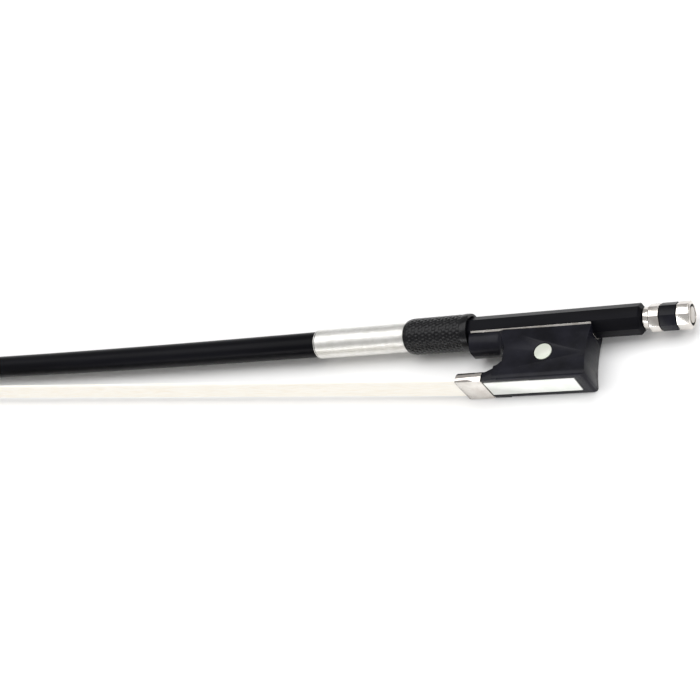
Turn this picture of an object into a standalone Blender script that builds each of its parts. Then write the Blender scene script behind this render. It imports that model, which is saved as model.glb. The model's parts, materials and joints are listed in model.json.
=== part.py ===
"""A full-size violin bow with a moving frog and screw, lying on its side as on a table.

Every size is in metres. +X runs along the screw towards the button, with X = 0 just behind the butt end
of the stick, inside the button's collar. +Y runs from the hair to the stick, with Y = 0 on the screw's axis. +Z is up from the table, with
Z = 0 on the bow's middle plane. At the end the whole bow is moved so that its box stands on the table,
centred over the origin. The frog is at its foremost place, as on a bow that is slackened to be put away.
"""
import math

import bmesh
import bpy
import numpy as np

MM = 0.001

# Clearances
GAP = 0.3 * MM                  # between pieces that seat on each other
SLIDE_GAP = 0.15 * MM           # between the stick and the lining that slides on it

# Stick: octagonal handle, then round, tapered and cambered up to the head
STICK_LENGTH = 730.6 * MM       # X = 0 to the point of the head
STICK_FLATS = 9.1 * MM          # across the flats of the handle
BUTT_SETBACK = 1.2 * MM         # butt face, ahead of X = 0
BUTT_CHAMFER = 1.0 * MM
CHAMFER_LENGTH = 0.9 * MM
OCTAGON_LENGTH = 64.0 * MM      # full octagon, from X = 0
ROUND_START = 79.0 * MM         # fully round from here on
ROUND_RADIUS = 4.4 * MM
NECK_RADIUS = 2.7 * MM          # where the stick runs into the head
TAPER_SHARE = 0.5               # share of the taper that is even, the rest grows towards the head
CAMBER_START = 121.7 * MM       # straight up to here, from X = 0
CAMBER_RISE = 31.0 * MM         # how far the stick has left the screw's axis at the head
CAMBER_SHARE = 0.6              # share of the rise that goes with the square of the distance
SHAFT_STEP = 22.0 * MM          # between rings of the cambered stick
NIPPLE_RADIUS = 2.6 * MM
NIPPLE_END = 1.5 * MM           # behind X = 0

# Grip: silver wire, then a leather sleeve with a raised rim
GRIP_END = 117.2 * MM           # front end of the winding, from X = 0
LEATHER_FRONT = 81.7 * MM
LEATHER_REAR = 58.9 * MM
LEATHER_RADIUS = 6.05 * MM
LEATHER_RIM_RADIUS = 6.17 * MM
LEATHER_RIM_LENGTH = 2.6 * MM
LEATHER_EDGE_RADIUS = 5.7 * MM  # thinned front edge
LEATHER_EDGE_LENGTH = 1.6 * MM
WIRE_LOOPS = 21
WIRE_POINTS = 24                # points along each loop
WIRE_WIDTH = 1.15 * MM          # flattened wire, along the stick
WIRE_THICKNESS = 0.28 * MM

# Hair ribbon
HAIR_RISE = 0.0504              # the ribbon's climb towards the head, for each unit of its run
HAIR_THICKNESS = 0.85 * MM
HAIR_WIDTH_FROG = 10.7 * MM
HAIR_WIDTH_HEAD = 8.2 * MM
HAIR_WIDTH_FROG_MORTISE = 8.0 * MM
HAIR_WIDTH_HEAD_MORTISE = 6.4 * MM
STRAND_ROWS = 4
STRANDS_PER_ROW = 42
STRAND_RADIUS = 0.085 * MM
STRAND_EMBED = 0.4 * MM         # how deep a strand runs into the fused end
HAIR_LEAD = 0.8 * MM            # straight start of the fused end

# Head, in its own axes: s runs towards the point from the plate's heel, h from the plate to the stick
HEAD_LENGTH = 25.0 * MM
HEAD_WIDTH = 11.0 * MM
PLATE_THICKNESS = 1.2 * MM
LINER_THICKNESS = 0.6 * MM
NECK_REACH = 14.0 * MM          # how far behind the heel the head's shape starts
BEAK_START = 13.0 * MM          # from here the plate sweeps up to the point
BEAK_LIFT = 1.6 * MM
HEAD_WIDEST = 0.25              # place of the widest line, as a share of the depth from the back
HEAD_RIDGE = 3.0                # how full the flanks are in front of it
HEAD_BACK = 5.0                 # how flat the back is
# each station: front s in mm, front height share, back s in mm, back height share, width share, headness
HEAD_STATIONS = [
    (-8.0, 0.973, -9.5, 0.700, 0.52, 0.10),
    (-2.0, 0.990, -6.2, 0.685, 0.55, 0.25),
    (3.5, 0.965, -3.6, 0.635, 0.60, 0.45),
    (8.0, 0.875, -1.7, 0.540, 0.68, 0.65),
    (11.0, 0.720, -0.7, 0.430, 0.77, 0.80),
    (13.0, 0.530, -0.2, 0.330, 0.85, 0.90),
    (15.3, 0.370, 0.0, 0.250, 0.91, 1.00),
    (19.0, 0.250, 0.0, 0.180, 0.96, 1.00),
]
HEAD_MORTISE_START = 3.0 * MM
HEAD_MORTISE_LENGTH = 6.6 * MM
HEAD_MORTISE_DEPTH = 5.0 * MM   # into the head, above the liner
HEAD_PLUG_SHARE = 0.52          # height of the plug and the hair's leg in the whole mortise

# Frog
FROG_FRONT = 57.8 * MM          # front of the thumb projection, from X = 0
FROG_LENGTH = 41.6 * MM
FROG_DEPTH = 16.57 * MM         # handle's bottom facet to the frog's underside
BED_HEIGHT = 1.45 * MM          # how far the frog climbs the handle's slanted facets
CHEEK_TOP_WIDTH = 9.9 * MM
CHEEK_LOW_WIDTH = 12.8 * MM
RIM_HEIGHT = 1.4 * MM           # upright band low on each cheek
RIM_BEVEL = 0.5 * MM
HEEL_HOLLOW = 0.7 * MM
HEEL_CORNER = 1.4 * MM
NOSE_DEPTH = 5.0 * MM           # handle's bottom facet to the bottom of the thumb projection
NOSE_WIDTH = 9.0 * MM           # its underside is half round, and narrower than the cheeks
NOSE_CORNER = 1.4 * MM
THROAT_DEPTH = 13.6 * MM        # from the front of the thumb projection
THROAT_ROUND = 2.6 * MM         # length of the throat's rounded end
LINING_THICKNESS = 0.35 * MM
LINING_HEIGHT = 2.25 * MM       # how far the lining climbs the slanted facets
LINING_SETBACK = 0.4 * MM
PIN_RADIUS = 0.4 * MM
PIN_LENGTH = 1.9 * MM
PIN_SETBACK = 3.2 * MM          # from each end of the frog
EYE_RADIUS = 2.85 * MM
EYE_THICKNESS = 0.9 * MM
EYE_FROM_HEEL = 14.6 * MM
EYE_DEPTH = 7.4 * MM            # handle's bottom facet to the middle of the eye

# Ferrule and what it holds
FERRULE_LENGTH = 8.9 * MM
FERRULE_SETBACK = 7.2 * MM      # its rear edge, behind the front of the thumb projection
FERRULE_WIDTH = 12.18 * MM
FERRULE_HEIGHT = 5.15 * MM
FERRULE_SHOULDER = 1.65 * MM    # height of its upright sides
FERRULE_WALL = 0.5 * MM
FERRULE_PROUD = 0.13 * MM       # below the frog's underside
TONGUE_THICKNESS = 1.1 * MM
WEDGE_LENGTH = 6.0 * MM
SADDLE_LENGTH = 5.4 * MM        # rounded stretch between the ferrule and the cheeks
SADDLE_SQUARENESS = 6.0         # how much squarer it is where it meets the cheeks
SADDLE_RISE = 1.3 * MM          # how far its shoulders have risen there

# Slide and the frog's mortise
PEARL_WIDTH = 8.26 * MM
PEARL_THICKNESS = 0.7 * MM
BACKING_THICKNESS = 0.5 * MM
DOVETAIL = 0.35                 # how much the slide widens inwards, for each unit of depth
SLIDE_FROM_HEEL = 4.0 * MM
FROG_MORTISE_FROM_THROAT = 1.8 * MM
FROG_MORTISE_LENGTH = 7.8 * MM
FROG_MORTISE_DEPTH = 6.7 * MM   # above the slide's channel
FROG_PLUG_SHARE = 0.55

# Screw, eyelet and button
TRAVEL = 6.0 * MM               # of the frog along the stick
THREAD_PITCH = 0.7 * MM
THREAD_LENGTH = 16.0 * MM
THREAD_DEPTH = 0.25 * MM
THREAD_STEPS = 3                # rings for each turn of thread
SCREW_SIDES = 12
SCREW_RADIUS = 1.3 * MM
SCREW_TIP_RADIUS = 1.0 * MM
SCREW_REACH = 62.0 * MM         # from X = 0 to the screw's tip
SHANK_HALF = 1.05 * MM          # square end inside the button
EYELET_FROM_NOSE = 21.3 * MM
EYELET_LENGTH = 6.0 * MM
EYELET_WIDTH = 4.0 * MM
EYELET_TOP = 2.9 * MM           # above the screw's axis
EYELET_CORNER = 1.2 * MM
STEM_RADIUS = 1.6 * MM
STEM_LENGTH = 6.3 * MM          # in the frog, below the bed
SLOT_SPARE = 1.5 * MM           # free length of the slot past the eyelet at each end of its travel
BUTTON_FLATS = 8.05 * MM
COLLAR_RADIUS = 3.5 * MM
COLLAR_LENGTH = 1.7 * MM
BUTTON_START = 0.8 * MM         # front ring, from X = 0
FRONT_RING_LENGTH = 3.33 * MM
CORE_LENGTH = 5.55 * MM         # black stretch between the two rings
REAR_RING_LENGTH = 3.59 * MM
RING_WALL = 0.65 * MM
RING_END_WALL = 0.7 * MM
RING_BEVEL = 0.25 * MM
END_DOME = 0.39 * MM            # how far the end face stands out past the facets
BUTTON_EYE_RADIUS = 2.5 * MM
BUTTON_EYE_THICKNESS = 0.75 * MM
EYE_LIP = 0.2 * MM              # black rim round the button's eye

RING_POINTS = 24
SMOOTH_ANGLE = math.radians(35)

# Places that follow from the sizes above
HAIR_TILT = math.atan(HAIR_RISE)
FACET_Y = -STICK_FLATS / 2
FROG_UNDERSIDE_Y = FACET_Y - FROG_DEPTH
FERRULE_BOTTOM_Y = FROG_UNDERSIDE_Y - FERRULE_PROUD
FERRULE_REAR_X = -FROG_FRONT + FERRULE_SETBACK
FERRULE_FRONT_X = FERRULE_REAR_X - FERRULE_LENGTH
HEEL_X = -FROG_FRONT + FROG_LENGTH
HAIR_START = (FERRULE_FRONT_X + 2 * GAP, FERRULE_BOTTOM_Y + FERRULE_WALL + GAP + HAIR_THICKNESS / 2)
PLATE_HEEL_X = -STICK_LENGTH + HEAD_LENGTH * math.cos(HAIR_TILT)
PLATE_FACE_LIFT = HAIR_THICKNESS / 2 + GAP
LINER_LOW = PLATE_THICKNESS + GAP
HEAD_BASE = LINER_LOW + LINER_THICKNESS + GAP
SLIDE_ROOF_Y = FROG_UNDERSIDE_Y + PEARL_THICKNESS + BACKING_THICKNESS + 2 * GAP
EYELET_X = -FROG_FRONT + EYELET_FROM_NOSE
BED_DISTANCE = STICK_FLATS / 2 + SLIDE_GAP + LINING_THICKNESS + GAP


def clear_scene():
    for thing in list(bpy.data.objects):
        bpy.data.objects.remove(thing, do_unlink=True)


def finish(name, color, roughness, metallic=0.0):
    """One Principled material for one piece."""
    material = bpy.data.materials.new(name)
    material.use_nodes = True
    shader = material.node_tree.nodes["Principled BSDF"]
    shader.inputs["Base Color"].default_value = (*color, 1.0)
    shader.inputs["Roughness"].default_value = roughness
    shader.inputs["Metallic"].default_value = metallic
    return material


def black_composite(name):
    return finish(name, (0.012, 0.012, 0.014), 0.38)


def black_horn(name):
    return finish(name, (0.020, 0.018, 0.022), 0.30)


def nickel(name):
    return finish(name, (0.70, 0.69, 0.66), 0.20, 1.0)


def silver(name):
    return finish(name, (0.74, 0.73, 0.70), 0.28, 1.0)


def brass(name):
    return finish(name, (0.72, 0.53, 0.24), 0.32, 1.0)


def steel(name):
    return finish(name, (0.48, 0.48, 0.49), 0.30, 1.0)


def pearl(name):
    return finish(name, (0.88, 0.87, 0.82), 0.22)


def leather(name):
    return finish(name, (0.016, 0.014, 0.015), 0.45)


def horsehair(name):
    return finish(name, (0.86, 0.81, 0.69), 0.50)


def plug_wood(name):
    return finish(name, (0.55, 0.36, 0.19), 0.60)


def thread(name):
    return finish(name, (0.60, 0.12, 0.09), 0.70)


def piece(name, work, material, parent=None):
    """Turns a bmesh into a named object with its faces pointing out, under an empty."""
    bmesh.ops.recalc_face_normals(work, faces=work.faces)
    mesh = bpy.data.meshes.new(name)
    work.to_mesh(mesh)
    work.free()
    mesh.shade_smooth()
    mesh.set_sharp_from_angle(angle=SMOOTH_ANGLE)
    thing = bpy.data.objects.new(name, mesh)
    bpy.context.collection.objects.link(thing)
    if material:
        mesh.materials.append(material)
    if parent:
        thing.parent = parent
        thing.matrix_parent_inverse = parent.matrix_basis.inverted()
    return thing


def carrier(name, location, parent=None):
    """An empty that carries the pieces of one moving body."""
    empty = bpy.data.objects.new(name, None)
    empty.location = location
    empty.parent = parent
    bpy.context.collection.objects.link(empty)
    return empty


def cut(target, cutter, operation="DIFFERENCE"):
    """Cuts, joins or trims a piece by a guide solid, which is then hidden."""
    modifier = target.modifiers.new(cutter.name, "BOOLEAN")
    modifier.operation = operation
    modifier.object = cutter
    cutter.parent = target.parent
    cutter.matrix_parent_inverse = target.matrix_parent_inverse
    cutter.hide_render = True
    cutter.display_type = "WIRE"


def skin(rings, loop=False, split_caps=(False, False)):
    """A closed skin over rings of equally many points.

    With loop, the last ring joins the first. Otherwise both ends are filled: by one face, or, where
    split_caps says so, by strips between the two mirrored halves of the ring.
    """
    work = bmesh.new()
    rows = [[work.verts.new(point) for point in ring] for ring in rings]
    count = len(rows[0])
    spans = len(rows) if loop else len(rows) - 1
    for i in range(spans):
        low, high = rows[i], rows[(i + 1) % len(rows)]
        for j in range(count):
            k = (j + 1) % count
            work.faces.new((low[j], low[k], high[k], high[j]))
    if not loop:
        for row, split in zip((rows[0], rows[-1]), split_caps):
            if split:
                for j in range(count // 2 - 1):
                    work.faces.new((row[j], row[j + 1], row[count - 2 - j], row[count - 1 - j]))
            else:
                work.faces.new(row)
    return work


def slab(outline, low, high, along="z"):
    """A flat outline given thickness along one axis. The outline's two values are the other two axes."""
    order = {"x": (2, 0, 1), "y": (0, 2, 1), "z": (0, 1, 2)}[along]
    rings = []
    for level in (low, high):
        rings.append([[(a, b, level)[k] for k in order] for a, b in outline])
    return skin(rings)


def box(low, high):
    return slab([(low[0], low[1]), (high[0], low[1]), (high[0], high[1]), (low[0], high[1])], low[2], high[2])


def arc(center, radii, start, end, steps):
    """Points on an elliptical arc, with angles in degrees."""
    angles = np.radians(np.linspace(start, end, steps + 1))
    return [(center[0] + radii[0] * math.cos(a), center[1] + radii[1] * math.sin(a)) for a in angles]


def disc(center, radius, sides=RING_POINTS):
    return arc(center, (radius, radius), 0, 360 - 360 / sides, sides - 1)


def ring_angles(points=RING_POINTS):
    """Angles round a ring, half a step off its top, so that an octagon's corners are among them."""
    return (np.arange(points) + 0.5) * 2 * math.pi / points


def handle_radius(angles, radius, octagon):
    """Distance from the axis: a circle where octagon is 0, an octagon of that inner radius where it is 1."""
    eighth = math.pi / 4
    off = (angles + eighth / 2) % eighth - eighth / 2
    return radius * ((1 - octagon) + octagon / np.cos(off))


def turned_ring(x, radius, octagon=0.0, points=RING_POINTS):
    angles = ring_angles(points)
    r = handle_radius(angles, radius, octagon)
    return np.stack([np.full(points, x), r * np.cos(angles), r * np.sin(angles)], 1)


def turned(profile, closed=False):
    """A piece turned about the screw's axis. Each profile row is x, radius and how octagonal it is."""
    return skin([turned_ring(*row) for row in profile], loop=closed)


def screw_rod(x_low, x_high, radius, points=RING_POINTS):
    return skin([turned_ring(x_low, radius, 0.0, points), turned_ring(x_high, radius, 0.0, points)])


def stick_center(x):
    """The middle of the stick at x: straight along the handle, then rising away from the hair."""
    reach = -PLATE_HEEL_X - CAMBER_START
    q = max(-x - CAMBER_START, 0.0) / reach
    return np.array([x, CAMBER_RISE * (CAMBER_SHARE * q ** 2 + (1 - CAMBER_SHARE) * q ** 3), 0.0])


def stick_radius(x):
    q = max(-x - GRIP_END, 0.0) / (-PLATE_HEEL_X - GRIP_END)
    return ROUND_RADIUS - (ROUND_RADIUS - NECK_RADIUS) * (TAPER_SHARE * q + (1 - TAPER_SHARE) * q ** 2)


def stick_normal(x):
    """Across the stick at x, away from the hair."""
    step = stick_center(x - MM) - stick_center(x + MM)
    step /= np.linalg.norm(step)
    return np.array([step[1], -step[0], 0.0])


def head_point(s, h, z=0.0):
    """A place in the head's own axes, in the bow's axes."""
    lift = h + PLATE_FACE_LIFT
    run = HAIR_START[0] - PLATE_HEEL_X
    c, n = math.cos(HAIR_TILT), math.sin(HAIR_TILT)
    return np.array([PLATE_HEEL_X - s * c + lift * n, HAIR_START[1] + run * HAIR_RISE + s * n + lift * c, z])


def head_sweep(s):
    """How far the plate's sweep lifts a point at s."""
    return BEAK_LIFT * (max(s - BEAK_START, 0.0) / (HEAD_LENGTH - BEAK_START)) ** 2


def head_outline(depth, width, headness):
    """Rows of (distance from the back, z) round one section of the head.

    Between the front and the widest line the half width is w(1 - t^p)^q, where t goes from 0 at the
    widest line to 1 at the front, and the same holds towards the back. p = 2 and q = 1/2 give the round
    stick, and the head's own values give flanks that meet in a ridge and a flat back.
    """
    widest = 0.5 + (HEAD_WIDEST - 0.5) * headness
    front_p, front_q = 2 + (HEAD_RIDGE - 2) * headness, 0.5 + 0.5 * headness
    back_p, back_q = 2 + (HEAD_BACK - 2) * headness, 0.5 - 0.3 * headness
    rows = []
    for angle in ring_angles():
        t = abs(math.cos(angle))
        front = math.cos(angle) > 0
        share = widest + (1 - widest) * t if front else widest - widest * t
        p, q = (front_p, front_q) if front else (back_p, back_q)
        rows.append((share * depth, math.copysign(width * (1 - t ** p) ** q, math.sin(angle))))
    return rows


def head_section(front, back, width, headness):
    """One ring of the head, between a front point and a back point."""
    depth = np.linalg.norm(front - back)
    across = (front - back) / depth
    return [back + across * share + np.array([0, 0, z]) for share, z in head_outline(depth, width, headness)]


def plate_ring(height):
    """A ring of the tip plate's outline at this height, with the sweep of its point."""
    rows = head_outline(HEAD_LENGTH, HEAD_WIDTH / 2, 1.0)
    return [head_point(s, height + head_sweep(s), z) for s, z in rows]


def smooth_rows(rows, steps):
    """A smooth curve through rows of numbers, with steps points from each row to the next."""
    rows = np.array(rows, float)
    padded = np.vstack([2 * rows[0] - rows[1], rows, 2 * rows[-1] - rows[-2]])
    result = []
    for i in range(len(rows) - 1):
        a, b, c, d = padded[i:i + 4]
        for t in np.arange(steps) / steps:
            result.append(0.5 * (2 * b + (c - a) * t + (2 * a - 5 * b + 4 * c - d) * t ** 2
                                 + (3 * b - a - 3 * c + d) * t ** 3))
    result.append(rows[-1])
    return result


def head_rings():
    """The head from where it leaves the stick down to the liner."""
    top = stick_center(PLATE_HEEL_X) + stick_normal(PLATE_HEEL_X) * stick_radius(PLATE_HEEL_X)
    foot = head_point(0, 0)
    height = float(np.linalg.norm(top - foot))
    rings = []
    for front_s, front_h, back_s, back_h, width, headness in smooth_rows(HEAD_STATIONS, 2):
        front = head_point(front_s * MM, front_h * height)
        back = head_point(back_s * MM, back_h * height)
        rings.append(head_section(front, back, width * HEAD_WIDTH / 2, headness))
    rings.append(plate_ring(HEAD_BASE))
    return rings


def shaft_rings():
    """The round stick from the end of the octagon up to the head, square to its curve."""
    neck_x = PLATE_HEEL_X + NECK_REACH
    count = max(2, round((-neck_x - GRIP_END) / SHAFT_STEP))
    angles = ring_angles()
    rings = []
    for x in np.linspace(-GRIP_END, neck_x, count + 1):
        center, normal, radius = stick_center(x), stick_normal(x), stick_radius(x)
        rings.append([center + normal * radius * math.cos(a) + np.array([0, 0, radius * math.sin(a)])
                      for a in angles])
    return rings


def make_stick(bow):
    """The stick and its head in one, with the screw's bore, the eyelet's slot and the head's mortise."""
    half = STICK_FLATS / 2
    rings = [
        turned_ring(NIPPLE_END, NIPPLE_RADIUS),
        turned_ring(-BUTT_SETBACK, NIPPLE_RADIUS),
        turned_ring(-BUTT_SETBACK, half - BUTT_CHAMFER, 0.5),
        turned_ring(-BUTT_SETBACK - CHAMFER_LENGTH, half, 1.0),
        turned_ring(-OCTAGON_LENGTH, half, 1.0),
    ]
    for share in (0.33, 0.67):
        x = -OCTAGON_LENGTH + share * (OCTAGON_LENGTH - ROUND_START)
        rings.append(turned_ring(x, half + share * (ROUND_RADIUS - half), 1 - share))
    rings.append(turned_ring(-ROUND_START, ROUND_RADIUS))
    rings += shaft_rings() + head_rings()
    stick = piece("stick", skin(rings, split_caps=(False, True)), black_composite("stick"), bow)

    bore = SCREW_RADIUS + GAP
    cut(stick, piece("screw_bore", screw_rod(-SCREW_REACH - GAP, NIPPLE_END + MM, bore), None))
    slot_front = EYELET_X - EYELET_LENGTH / 2 - SLOT_SPARE
    slot_rear = EYELET_X + EYELET_LENGTH / 2 + TRAVEL + SLOT_SPARE
    slot_half = EYELET_WIDTH / 2 + GAP
    slot = box((slot_front, -STICK_FLATS, -slot_half), (slot_rear, EYELET_TOP + GAP, slot_half))
    cut(stick, piece("eyelet_slot", slot, None))
    half_width = HEAD_WIDTH_IN_MORTISE
    cut(stick, head_block("head_mortise", HEAD_MORTISE_START, HEAD_MORTISE_START + HEAD_MORTISE_LENGTH,
                          HEAD_BASE - MM, HEAD_BASE + HEAD_MORTISE_DEPTH, half_width))
    return stick


HEAD_WIDTH_IN_MORTISE = HAIR_WIDTH_HEAD_MORTISE / 2 + GAP


def head_block(name, s_low, s_high, h_low, h_high, half_width, material=None, parent=None):
    """A block square to the head's own axes."""
    corners = [(s_low, h_low), (s_high, h_low), (s_high, h_high), (s_low, h_high)]
    outline = [tuple(head_point(s, h)[:2]) for s, h in corners]
    return piece(name, slab(outline, -half_width, half_width), material, parent)


def make_tip(bow):
    """The liner and plate under the head, and the plug and knot in its mortise."""
    hole_half = HAIR_WIDTH_HEAD / 2 + GAP
    start = HEAD_MORTISE_START
    end = start + HEAD_MORTISE_LENGTH
    layers = (
        ("head_plate_liner", LINER_LOW, LINER_THICKNESS, black_horn),
        ("head_plate", 0.0, PLATE_THICKNESS, pearl),
    )
    for name, low, thickness, material in layers:
        rings = [plate_ring(low), plate_ring(low + thickness)]
        layer = piece(name, skin(rings, split_caps=(True, True)), material(name), bow)
        cut(layer, head_block(name + "_hole", start, end, low - MM, low + thickness + MM, hole_half))
    depth = HEAD_BASE + HEAD_MORTISE_DEPTH
    plug_top = depth * HEAD_PLUG_SHARE
    inner = HAIR_WIDTH_HEAD_MORTISE / 2
    plug_end = end - 2 * GAP - HAIR_THICKNESS
    head_block("tip_plug", start + GAP, plug_end, 0.0, plug_top, inner, plug_wood("tip_plug"), bow)
    middle = head_point((start + end) / 2 + GAP, (plug_top + depth) / 2)
    radii = (HEAD_MORTISE_LENGTH / 2 - 2 * GAP, (depth - plug_top) / 2 - GAP)
    knot = arc(middle[:2], radii, 0, 330, 11)
    piece("tip_knot", slab(knot, -inner, inner), thread("tip_knot"), bow)


def make_winding(bow):
    """Flattened silver wire wound on the stick in one unbroken run, with straight ends."""
    length = GRIP_END - LEATHER_FRONT - GAP - WIRE_WIDTH
    pitch = length / WIRE_LOOPS
    steps = WIRE_LOOPS * WIRE_POINTS
    radius = ROUND_RADIUS + GAP + WIRE_THICKNESS / 2
    bulge = [(-0.5, 0.0), (-0.3, 0.5), (0.3, 0.5), (0.5, 0.0), (0.3, -0.5), (-0.3, -0.5)]
    rings = []
    for i in range(steps + 1):
        angle = 2 * math.pi * i / WIRE_POINTS
        x = -GRIP_END + WIRE_WIDTH / 2 + pitch * i / WIRE_POINTS
        outward = np.array([0.0, math.cos(angle), math.sin(angle)])
        rings.append([np.array([x + a * WIRE_WIDTH, 0, 0]) + outward * (radius + b * WIRE_THICKNESS)
                      for a, b in bulge])
    wire = np.array(rings)
    along = np.array([0.0, 0.0, WIRE_THICKNESS])
    wire = np.concatenate([[wire[0] - along], wire, [wire[-1] + along]])
    apart = min(np.linalg.norm(wire[i][:, None] - wire[i + WIRE_POINTS][None], axis=2).min()
                for i in range(len(wire) - WIRE_POINTS))
    print("winding: least gap between loops %.2f mm" % (apart / MM))
    piece("winding", skin(wire), silver("winding"), bow)


def make_leather(bow):
    """Leather sleeve, thinned where it meets the wire and raised where it ends at the frog."""
    inner = STICK_FLATS / 2 / math.cos(math.pi / 8) + GAP
    rim_start = -LEATHER_REAR - LEATHER_RIM_LENGTH
    edge_end = -LEATHER_FRONT + LEATHER_EDGE_LENGTH
    profile = [
        (-LEATHER_FRONT, inner),
        (-LEATHER_FRONT, LEATHER_EDGE_RADIUS),
        (edge_end, LEATHER_RADIUS),
        (rim_start, LEATHER_RADIUS),
        (rim_start + GAP, LEATHER_RIM_RADIUS),
        (-LEATHER_REAR - 2 * GAP, LEATHER_RIM_RADIUS),
        (-LEATHER_REAR, LEATHER_RIM_RADIUS - 2 * GAP),
        (-LEATHER_REAR, inner),
    ]
    piece("thumb_leather", turned(profile, closed=True), leather("thumb_leather"), bow)


def ribbon(path, half_widths):
    """A flat ribbon of hair along a path in the middle plane, mitred at its bends."""
    path = [np.array([x, y]) for x, y in path]
    rings = []
    for i, point in enumerate(path):
        before = point - path[i - 1] if i else path[1] - point
        after = path[i + 1] - point if i < len(path) - 1 else point - path[i - 1]
        before, after = before / np.linalg.norm(before), after / np.linalg.norm(after)
        mean = (before + after) / np.linalg.norm(before + after)
        across = np.array([-mean[1], mean[0]]) * HAIR_THICKNESS / 2 / float(mean @ after)
        w = half_widths[i]
        rings.append([(*(point + across), w), (*(point + across), -w), (*(point - across), -w),
                      (*(point - across), w)])
    return skin(rings)


def frog_hair_places():
    """Where the frog's end of the ribbon runs: along the ferrule, over the slide and up the mortise."""
    x, y = HAIR_START
    lead = (x + HAIR_LEAD, y - HAIR_LEAD * HAIR_RISE)
    level = SLIDE_ROOF_Y + HAIR_THICKNESS / 2
    leg_x = mortise_x()[1] - GAP - HAIR_THICKNESS / 2
    return [(x, y), lead, (FERRULE_REAR_X, level), (leg_x, level), (leg_x, frog_plug_top())]


def mortise_x():
    """Front and rear of the frog's mortise."""
    front = -FROG_FRONT + THROAT_DEPTH + FROG_MORTISE_FROM_THROAT
    return front, front + FROG_MORTISE_LENGTH


def frog_plug_top():
    return SLIDE_ROOF_Y + FROG_MORTISE_DEPTH * FROG_PLUG_SHARE


def make_hair(bow):
    """Straight strands from the ferrule to the head, fused at both ends into the flat ribbon."""
    wide, narrow = HAIR_WIDTH_FROG / 2, HAIR_WIDTH_FROG_MORTISE / 2
    widths = [wide, wide, narrow, narrow, narrow]
    hair = piece("hair", ribbon(frog_hair_places(), widths), horsehair("hair"), bow)

    middle = -PLATE_FACE_LIFT
    start = HEAD_MORTISE_START + 2 * GAP
    leg = HEAD_MORTISE_START + HEAD_MORTISE_LENGTH - GAP - HAIR_THICKNESS / 2
    top = (HEAD_BASE + HEAD_MORTISE_DEPTH) * HEAD_PLUG_SHARE
    places = [(start, middle), (start + HAIR_LEAD, middle), (leg, middle), (leg, top)]
    path = [tuple(head_point(s, h)[:2]) for s, h in places]
    wide, narrow = HAIR_WIDTH_HEAD / 2, HAIR_WIDTH_HEAD_MORTISE / 2
    cut(hair, piece("hair_head_end", ribbon(path, [wide, wide, narrow, narrow]), None), "UNION")

    strands = bmesh.new()
    rows = np.linspace(-0.5, 0.5, STRAND_ROWS) * (HAIR_THICKNESS - 3 * STRAND_RADIUS)
    slots = (np.arange(STRANDS_PER_ROW) + 0.5) / STRANDS_PER_ROW - 0.5
    stagger = 0.25 / STRANDS_PER_ROW
    corner = [STRAND_RADIUS * np.array([0, math.cos(a), math.sin(a)]) for a in np.radians((90, 210, 330))]
    room = 1 - 4 * STRAND_RADIUS / HAIR_WIDTH_HEAD
    embed_x = HAIR_START[0] + STRAND_EMBED
    embed_y = HAIR_START[1] - STRAND_EMBED * HAIR_RISE
    for k, lift in enumerate(rows):
        for slot in slots + (stagger if k % 2 else -stagger):
            near = np.array([embed_x, embed_y + lift, slot * HAIR_WIDTH_FROG * room])
            far = head_point(start + STRAND_EMBED, middle + lift, slot * HAIR_WIDTH_HEAD * room)
            ends = [[strands.verts.new(end + c) for c in corner] for end in (near, far)]
            for j in range(3):
                i = (j + 1) % 3
                strands.faces.new((ends[0][j], ends[0][i], ends[1][i], ends[1][j]))
            strands.faces.new(ends[0])
            strands.faces.new(ends[1])
    cut(hair, piece("hair_strands", strands, None), "UNION")


def cheek_half(y):
    """Half the frog's width at y: the cheeks lean out down to the upright band."""
    top_y = FACET_Y + LINING_HEIGHT
    band_y = FROG_UNDERSIDE_Y + RIM_BEVEL + RIM_HEIGHT
    share = min(max((top_y - y) / (top_y - band_y), 0.0), 1.0)
    return (CHEEK_TOP_WIDTH + (CHEEK_LOW_WIDTH - CHEEK_TOP_WIDTH) * share) / 2


def frog_side():
    """The frog seen from its side, anticlockwise from the top of the heel."""
    front_x, bed_y = -FROG_FRONT, FACET_Y + BED_HEIGHT
    nose_y, crown_y = FACET_Y - NOSE_DEPTH, FERRULE_BOTTOM_Y + FERRULE_HEIGHT
    throat_x = throat_middle_x()
    corner = (front_x + NOSE_CORNER, nose_y + NOSE_CORNER)
    outline = [(front_x, bed_y)] + arc(corner, (NOSE_CORNER, NOSE_CORNER), 180, 270, 4)
    throat = (throat_x, (nose_y + crown_y) / 2)
    outline += arc(throat, (THROAT_ROUND, (nose_y - crown_y) / 2), 90, -90, 14)
    outline.append((throat_x, FROG_UNDERSIDE_Y))
    corner_x, corner_y = HEEL_X - HEEL_CORNER, FROG_UNDERSIDE_Y + HEEL_CORNER
    outline += arc((corner_x, corner_y), (HEEL_CORNER, HEEL_CORNER), 270, 360, 4)
    for share in (0.2, 0.4, 0.6, 0.8, 1.0):
        hollow = HEEL_HOLLOW * (1 - (2 * share - 1) ** 2)
        outline.append((HEEL_X - hollow, corner_y + share * (bed_y - corner_y)))
    return outline


def throat_middle_x():
    """Where the throat's rounded end starts."""
    return -FROG_FRONT + THROAT_DEPTH - THROAT_ROUND


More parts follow.
